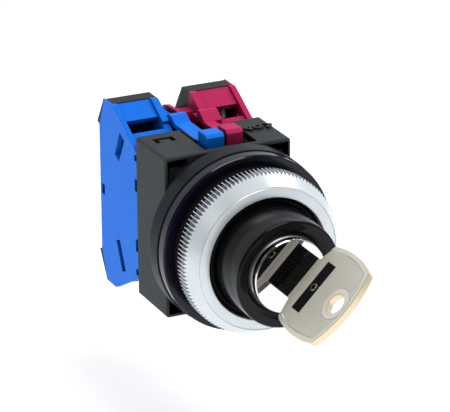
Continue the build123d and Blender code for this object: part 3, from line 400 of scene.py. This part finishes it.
box_plastic = plastic("box_plastic", (0.050, 0.056, 0.059), 0.46, 0.009, 5200, soft=0.2)
collar_plastic = plastic("collar_plastic", (0.017, 0.020, 0.026), 0.34, 0.003, 4200)
gasket_plastic = plastic("gasket_plastic", (0.008, 0.006, 0.020), 0.14, 0.001, 3000, spec=0.3)
washer_plastic = plastic("washer_plastic", (0.006, 0.006, 0.008), 0.4, spec=0.2)
sleeve_black = plastic(
    "sleeve_black", (0.004, 0.004, 0.005), 0.13, 0.0008, 2600, wear=1.1, spec=0.2
)
inlay_black = plastic("inlay_black", (0.008, 0.008, 0.009), 0.3)
seal_rubber = plastic("seal_rubber", (0.012, 0.012, 0.012), 0.6)
cam_white = plastic("cam_white", (0.74, 0.74, 0.70), 0.42, wear=1.03)
cover_black = plastic("cover_black", (0.037, 0.040, 0.042), 0.42, 0.008, 5000)
barrel_black = plastic("barrel_black", (0.02, 0.02, 0.022), 0.45)
case_plastic = {
    side: plastic(f"case_{word}", colour, 0.42, 0.006, 4800, wear=1.12, soft=0.16)
    for side, word, colour in (
        ("left", "blue", (0.012, 0.215, 0.95)),
        ("right", "magenta", (0.60, 0.026, 0.135)),
    )
}

TURNED = (1, 6, 1)  # streaks that run round the ring
ring_chrome = metal("ring_chrome", (0.80, 0.85, 0.88), 0.31, TURNED, 700, 0.0004, 0.04, 0.38)
# darker copy of the ring's chrome for the knurl's grooves: painted shade
groove_chrome_painted_shade = metal("groove_chrome_painted_shade", (0.30, 0.31, 0.35), 0.1, TURNED, 900, 0.0012, 0.04)
plug_chrome = metal("plug_chrome", (0.76, 0.76, 0.75), 0.035, scale=2200, depth=0.0002, spread=0.02)
zinc = metal("zinc", (0.5, 0.51, 0.53), 0.42)
# bright_steel and brass take painted shade in recesses
bright_steel = metal("bright_steel", (0.6, 0.61, 0.63), 0.26, deep=0.15)
spring_steel = metal("spring_steel", (0.45, 0.46, 0.48), 0.24)
brass = metal("brass", (0.78, 0.58, 0.28), 0.28, deep=0.15)
key_nickel = key_metal()
eyelet_metal = eyelet_finish()

# ---- Materials and soft edges on the CAD nodes ----------------------------------------

looks = {
    "operator_body": box_plastic,
    "rear_plate": box_plastic,
    "threaded_barrel": barrel_black,
    "barrel_screws": bright_steel,
    "lock_housing": zinc,
    "lock_plug": plug_chrome,
    "wafers": brass,
    "wafer_springs": spring_steel,
    "retaining_clip": bright_steel,
    "weather_seal": seal_rubber,
    "key": key_nickel,
    "key_inlay": inlay_black,
    "key_eyelet": eyelet_metal,
    "index_ring": cam_white,
    "cam_rotor": cam_white,
    "cam_screw": bright_steel,
    "detent_ball": bright_steel,
    "detent_spring": spring_steel,
    "plate_screws": bright_steel,
}
for side, case in case_plastic.items():
    looks[f"{side}_block_case"] = case
    looks[f"{side}_latch"] = case
    looks[f"{side}_terminal_cover"] = cover_black
    looks[f"{side}_terminal_screws"] = bright_steel
    looks[f"{side}_wire_clamps"] = bright_steel
    looks[f"{side}_fixed_contacts"] = brass
    looks[f"{side}_bridge_contact"] = brass
    looks[f"{side}_plunger"] = cam_white
    looks[f"{side}_pusher"] = cam_white

EDGE_WIDTHS = {  # of the rounding on each node's edges, mm
    "rear_plate": 0.2,
    "lock_plug": 0.06,
    "key": 0.12,
    "key_inlay": 0.08,
    "key_eyelet": 0.05,
}
for side in case_plastic:
    EDGE_WIDTHS[f"{side}_terminal_cover"] = 0.16
    EDGE_WIDTHS[f"{side}_terminal_screws"] = 0.1
WELD_GAP = 0.002  # mm
FLAT_ANGLE = radians(0.6)  # faces closer than this to one plane become one face
EDGE_ANGLE = radians(32)  # sharper edges than this are rounded

# These keep their own normals, and their materials soften their edges.
KEPT_NORMALS = (
    "operator_body",
    "left_latch",
    "right_latch",
    "left_block_case",
    "right_block_case",
)

for name, material in looks.items():
    node = nodes[name]
    node.data.materials.clear()
    node.data.materials.append(material)
    for polygon in node.data.polygons:
        polygon.material_index = 0
    if name in KEPT_NORMALS:
        continue
    for polygon in node.data.polygons:
        polygon.use_smooth = True
    custom = node.data.attributes.get("custom_normal")
    if custom:
        node.data.attributes.remove(custom)
    weld = node.modifiers.new("weld", "WELD")
    weld.merge_threshold = WELD_GAP * MM
    merge = node.modifiers.new("flats", "DECIMATE")
    merge.decimate_type = "DISSOLVE"
    merge.angle_limit = FLAT_ANGLE
    if name in EDGE_WIDTHS:
        bevel = node.modifiers.new("edges", "BEVEL")
        bevel.limit_method = "ANGLE"
        bevel.angle_limit = EDGE_ANGLE
        bevel.width = EDGE_WIDTHS[name] * MM
        bevel.segments = 2
        bevel.use_clamp_overlap = False
        bevel.miter_outer = "MITER_ARC"
    weighted = node.modifiers.new("weighted", "WEIGHTED_NORMAL")
    weighted.keep_sharp = False

# ---- Locking ring ---------------------------------------------------------------------

# Radii from the barrel's axis and places along Y, in mm, here and in the next section.
BORE_R = 15.1  # of the turned pieces that go over the barrel
RING_R = 20.08
RING_BACK = -3.25
CONE_START = -6.7
CONE_END = (17.75, -10.5)
CONE_RUN = (RING_R - CONE_END[0]) / (CONE_START - CONE_END[1])  # radius lost per mm of Y
RING_TEETH = 120
TOOTH_SAMPLES = 10  # segments per tooth
TOOTH_DEPTH = 0.5
FLANK_GAIN = 1.25  # more than 1 leaves each tooth a flat top
FULL_TOOTH = 0.01  # less groove than this is no groove


def tooth_radius(segment):
    """Radius of the knurl: V grooves between narrow flat-topped teeth."""
    phase = (segment % TOOTH_SAMPLES) / TOOTH_SAMPLES
    height = 1 - abs(2 * phase - 1)
    return RING_R - TOOTH_DEPTH * max(0.0, 1 - FLANK_GAIN * height)


def on_cone(r):
    return r, CONE_START - (RING_R - r) / CONE_RUN


KNURL_CORNERS = (0, 1, 2, 3)  # of the outline
GROOVE_END_CORNER = 4
ring_outline = [
    (RING_R - 0.35, RING_BACK),
    (RING_R, RING_BACK - 0.3),
    (RING_R, -4.4),
    (RING_R, -5.6),
    (RING_R, CONE_START),
    on_cone(19.3),
    on_cone(18.5),
    CONE_END,
    # A thin groove, then the face, which leans outward to the bore's rounded mouth.
    (17.64, -10.38),
    (17.52, -10.38),
    (17.42, -10.48),
    (17.3, -10.5),
    (16.4, -10.6),
    (15.5, -10.7),
    (15.3, -10.68),
    (15.16, -10.6),
    (BORE_R, -10.45),
    (BORE_R, -7.0),
    (BORE_R, RING_BACK),
    (17.5, RING_BACK),
]


def knurl(index, r, y, segment):
    """Cut the grooves into the ring's edge, out to where each one runs into the cone."""
    root = tooth_radius(segment)
    if index in KNURL_CORNERS:
        return min(r, root), y
    if index == GROOVE_END_CORNER:
        return root, y - (RING_R - root) / CONE_RUN
    return r, y


ring_segments = RING_TEETH * TOOTH_SAMPLES
# the knurl's groove faces, which take the darker chrome of painted shade
painted_shade_groove_faces = [
    segment * len(ring_outline) + index
    for segment in range(ring_segments)
    for index in KNURL_CORNERS
    if min(tooth_radius(segment), tooth_radius(segment + 1)) < RING_R - FULL_TOOTH
]
make_piece(
    "ring_shell",
    *lathe(ring_outline, ring_segments, knurl),
    [ring_chrome, groove_chrome_painted_shade],
    "locking_ring",
    ["locking_ring"],
    "ring_chrome",
    sharp=24,
    second=painted_shade_groove_faces,
)

# ---- Sleeve, collar, gasket and washer --------------------------------------------------

TURNED_SEGMENTS = 256
SLEEVE_FRONT = -21.35
SLEEVE_BACK = 16.9
GASKET_R = 22.0
GASKET_BACK = 2.8
COLLAR_R = 22.25
COLLAR_DISC = (3.2, 8.1)
COLLAR_STEM_R = 19.6
COLLAR_BACK = 10.9
WASHER_SPAN = (-3.2, -0.05)


def turned(name, corners, material, body, node, look):
    """Turned piece in place of one node, from the rounded corners of its outline."""
    shape = lathe(rounded(corners), TURNED_SEGMENTS)
    make_piece(name, *shape, [material], body, [node], look)


sleeve_corners = [
    (10.9, SLEEVE_FRONT, 0.25),
    (13.15, SLEEVE_FRONT, 0.7),
    (13.5, -10.7, 0),
    (13.5, 14.9, 0.1),
    (14.2, 14.9, 0.1),
    (14.2, SLEEVE_BACK, 0.2),
    (7.5, SLEEVE_BACK, 0.2),
    (7.5, 6.1, 0),
    (9.3, 6.1, 0),
    (9.3, -20.15, 0.15),
]
turned("sleeve_shell", sleeve_corners, sleeve_black, "operator", "lock_sleeve", "sleeve_black")

collar_corners = [
    (BORE_R, GASKET_BACK, 0),
    (21.65, GASKET_BACK, 0),
    (21.65, COLLAR_DISC[0], 0.05),
    (COLLAR_R, COLLAR_DISC[0], 0.22),
    (COLLAR_R, COLLAR_DISC[1], 0.5),
    (COLLAR_STEM_R, COLLAR_DISC[1], 0.2),
    (COLLAR_STEM_R, COLLAR_BACK, 0),
    (BORE_R, COLLAR_BACK, 0),
]
turned(
    "collar_shell", collar_corners, collar_plastic, "operator", "front_collar", "collar_plastic"
)

gasket_corners = [
    (BORE_R, GASKET_BACK, 0),
    (BORE_R, 0.15, 0.1),
    (20.4, 0.15, 0.05),
    (20.4, 0.0, 0.05),
    (21.7, 0.0, 0.1),
    (GASKET_R, 0.3, 0.15),
    (GASKET_R, GASKET_BACK, 0.15),
]
turned(
    "gasket_shell", gasket_corners, gasket_plastic, "operator", "panel_gasket", "gasket_rubber"
)

washer_corners = [
    (BORE_R, WASHER_SPAN[1], 0),
    (BORE_R, WASHER_SPAN[0], 0),
    (19.5, WASHER_SPAN[0], 0.3),
    (19.5, WASHER_SPAN[1], 0.3),
]
turned(
    "washer_shell", washer_corners, washer_plastic, "slip_washer", "slip_washer", "washer_black"
)

# ---- Return springs ---------------------------------------------------------------------

SPRING_X = 8.5
SPRING_SPAN = (37.1, 46.3)  # between the bridge and the cover along Y, mm
SPRING_R = 1.62
SPRING_WIRE_R = 0.22
SPRING_GAP = 0.05  # between each end and what it rests on, mm
SPRING_TURNS = 5
STEPS_PER_TURN = 28
WIRE_SIDES = 8


def coil(centre_x):
    """Open coil of round wire along Y, with capped ends."""
    steps = STEPS_PER_TURN * SPRING_TURNS
    end_gap = SPRING_WIRE_R + SPRING_GAP
    start = SPRING_SPAN[0] + end_gap
    length = SPRING_SPAN[1] - end_gap - start
    rise = length / (2 * pi * SPRING_TURNS * SPRING_R)
    verts = []
    for step in range(steps + 1):
        angle = 2 * pi * SPRING_TURNS * step / steps
        outward = Vector((cos(angle), 0, sin(angle)))
        forward = Vector((-sin(angle), rise, cos(angle))).normalized()
        sideways = forward.cross(outward)
        middle = Vector((centre_x, start + length * step / steps, 0)) + outward * SPRING_R
        for corner in range(WIRE_SIDES):
            turn = 2 * pi * corner / WIRE_SIDES
            verts.append(middle + (outward * cos(turn) + sideways * sin(turn)) * SPRING_WIRE_R)
    first_cap = tuple(reversed(range(WIRE_SIDES)))
    last_cap = tuple(range(steps * WIRE_SIDES, (steps + 1) * WIRE_SIDES))
    faces = [first_cap, last_cap]
    for step in range(steps):
        low, high = step * WIRE_SIDES, (step + 1) * WIRE_SIDES
        for corner in range(WIRE_SIDES):
            beside = (corner + 1) % WIRE_SIDES
            faces.append((low + corner, low + beside, high + beside, high + corner))
    return verts, faces


for side, way in (("left", -1), ("right", 1)):
    spring = make_piece(
        f"{side}_spring_coil",
        *coil(way * SPRING_X),
        [spring_steel],
        "operator",
        [f"{side}_return_spring"],
        "spring_steel",
    )
    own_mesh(spring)

# ---- Floor, surroundings and lights -----------------------------------------------------

FLOOR_Z = -0.062
FLOOR_R = 2.2
FLOOR_SIDES = 64
FLOOR_GLOW = 0.42
SKY_STRENGTH = 0.82
DARK_WAY = Vector((-0.25, -0.93, 0.27)).normalized()  # of the sky, for the bright faces to mirror

floor_mesh = bpy.data.meshes.new("floor")
floor_verts = []
for corner in range(FLOOR_SIDES):
    angle = 2 * pi * corner / FLOOR_SIDES
    floor_verts.append((FLOOR_R * cos(angle), FLOOR_R * sin(angle), FLOOR_Z))
floor_mesh.from_pydata(floor_verts, [], [tuple(range(FLOOR_SIDES))])
floor = bpy.data.objects.new("floor", floor_mesh)
floor_material, _, floor_bsdf = new_material("floor_white")
floor_bsdf.inputs["Base Color"].default_value = (0.9, 0.9, 0.9, 1)
floor_bsdf.inputs["Roughness"].default_value = 0.9
floor_bsdf.inputs["Emission Color"].default_value = (1, 1, 1, 1)
floor_bsdf.inputs["Emission Strength"].default_value = FLOOR_GLOW
floor_mesh.materials.append(floor_material)
scene.collection.objects.link(floor)

world = bpy.data.worlds.new("studio")
scene.world = world
world.use_nodes = True
sky = world.node_tree
background = sky.nodes["Background"]
heading = sky.nodes.new("ShaderNodeTexCoord")
toward = sky.nodes.new("ShaderNodeVectorMath")
toward.operation = "DOT_PRODUCT"
sky.links.new(heading.outputs["Generated"], toward.inputs[0])
toward.inputs[1].default_value = DARK_WAY
shade = map_range(sky, toward.outputs["Value"], -0.1, 0.72, 0.0, 1.0)
sky_colour = mix_colours(sky, shade, (0.93, 0.97, 1.0), (0.012, 0.012, 0.014))
sky.links.new(sky_colour, background.inputs["Color"])
background.inputs["Strength"].default_value = SKY_STRENGTH


def soft_light(name, way, distance, size, power):
    """White soft box at a distance from the object, facing it."""
    light = bpy.data.lights.new(name, "AREA")
    light.shape = "RECTANGLE"
    light.size = size[0]
    light.size_y = size[1]
    light.energy = power
    holder = bpy.data.objects.new(name, light)
    direction = Vector(way).normalized()
    holder.location = direction * distance
    holder.rotation_euler = direction.to_track_quat("Z", "Y").to_euler()
    scene.collection.objects.link(holder)


soft_light("top_box", (0.1, -0.5, 0.86), 0.9, (0.5, 0.4), 4.2)
soft_light("right_strip", (0.66, 0.15, 0.74), 0.8, (0.035, 0.3), 0.8)
soft_light("left_box", (-0.75, -0.02, 0.65), 0.9, (0.4, 0.4), 0.3)
